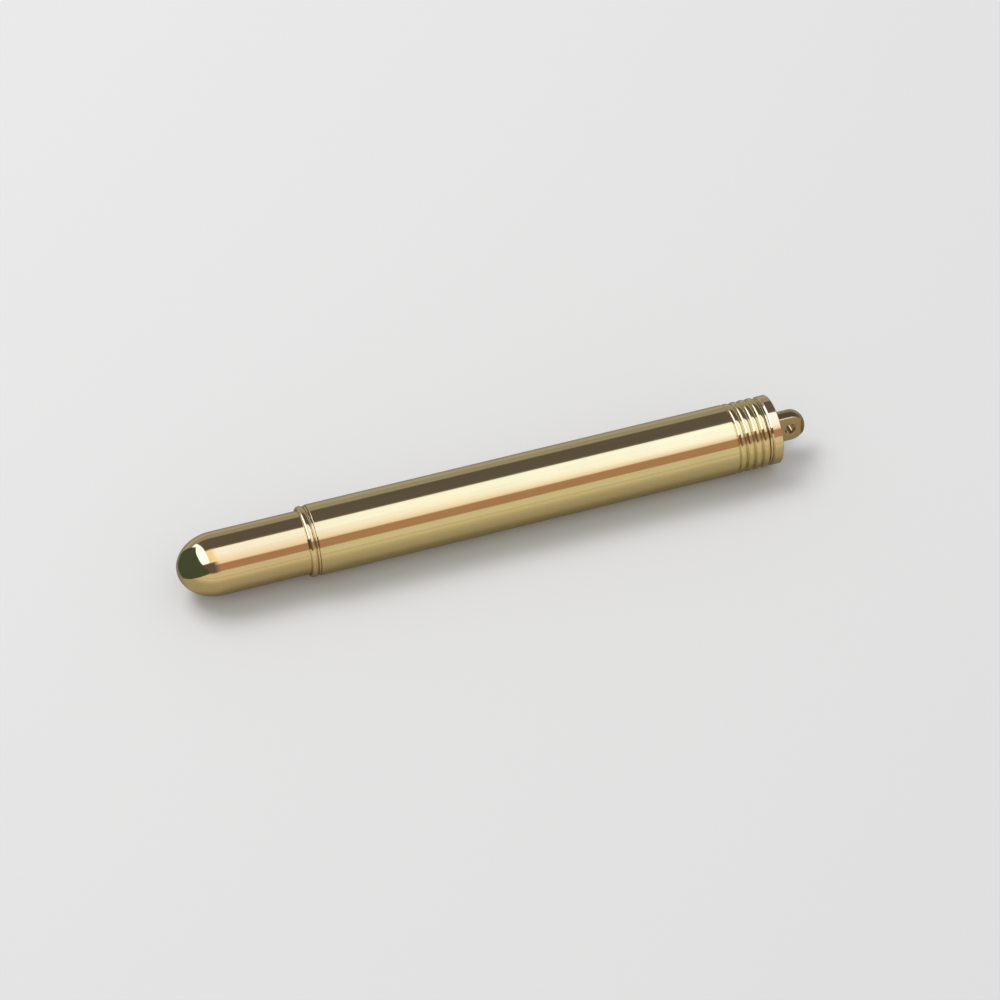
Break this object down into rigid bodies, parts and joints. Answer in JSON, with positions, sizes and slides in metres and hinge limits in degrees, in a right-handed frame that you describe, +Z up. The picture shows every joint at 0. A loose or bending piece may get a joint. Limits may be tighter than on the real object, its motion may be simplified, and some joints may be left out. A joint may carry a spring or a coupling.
{
  "type": "fountain pen",
  "caption": "Compact brass fountain pen, capped: bullet-ended barrel, bead ring, ribbed slip cap with clip and eyelet, screw-in nib section and ink cartridge.",
  "frame": {"origin": "on the cap tube's lowest facet, at mid-length of the capped pen, with the pen's axis straight above it", "axes": "+X along the pen from the bullet-shaped barrel end to the eyelet, +Z up, -Y is the front"},
  "size_m": [0.105, 0.0121, 0.0114],
  "materials": {
    "polished_brass": "mirror polished, unlacquered, with faint hairline scratches",
    "black_plastic": "moulded, semi-gloss",
    "clear_plastic": "translucent polythene, dark with ink",
    "white_plastic": "natural moulded liner",
    "steel": "polished stainless"
  },
  "bodies": {
    "barrel": {"barrel_shell": "polished_brass", "barrel_ring": "polished_brass"},
    "cap": {"cap_tube": "polished_brass", "inner_cap": "white_plastic", "clip_ring": "polished_brass", "cap_end_band": "polished_brass", "finial_eyelet": "polished_brass", "finial_washer": "steel", "finial_nut": "steel"},
    "clip": {"clip": "polished_brass"},
    "section_carrier": {"section_trim_ring": "black_plastic"},
    "section": {"section_core": "black_plastic", "grip_sleeve": "polished_brass", "nib_housing": "black_plastic"},
    "nib_unit": {"nib": "steel", "nib_tipping": "steel", "feed": "black_plastic"},
    "cartridge": {"ink_cartridge": "clear_plastic", "cartridge_ball": "steel"}
  },
  "joints": [
    {"name": "cap_slide", "type": "slide", "parent": "barrel", "child": "cap", "axis": [1, 0, 0], "range_m": [0, 0.062]},
    {"name": "clip_flex", "type": "hinge", "parent": "cap", "child": "clip", "pos_m": [0.04496, 0.00519, 0.00145], "axis": [0, -0.6359, -0.7718], "range_deg": [0, 3], "stiffness_Nm_per_rad": 0.3, "springref_deg": -1.72},
    {"name": "section_travel", "type": "slide", "parent": "barrel", "child": "section_carrier", "axis": [1, 0, 0], "range_m": [0, 0.0048]},
    {"name": "section_turn", "type": "hinge", "parent": "section_carrier", "child": "section", "pos_m": [-0.0041, 0, 0.00572], "axis": [1, 0, 0], "range_deg": [0, 2160]},
    {"name": "nib_pull", "type": "slide", "parent": "section", "child": "nib_unit", "axis": [1, 0, 0], "range_m": [0, 0.008]},
    {"name": "cartridge_pull", "type": "slide", "parent": "section", "child": "cartridge", "axis": [-1, 0, 0], "range_m": [0, 0.005]}
  ],
  "couplings": [
    {"joint": "section_turn", "follows": "section_travel", "rad_per_m": 7854}
  ]
}
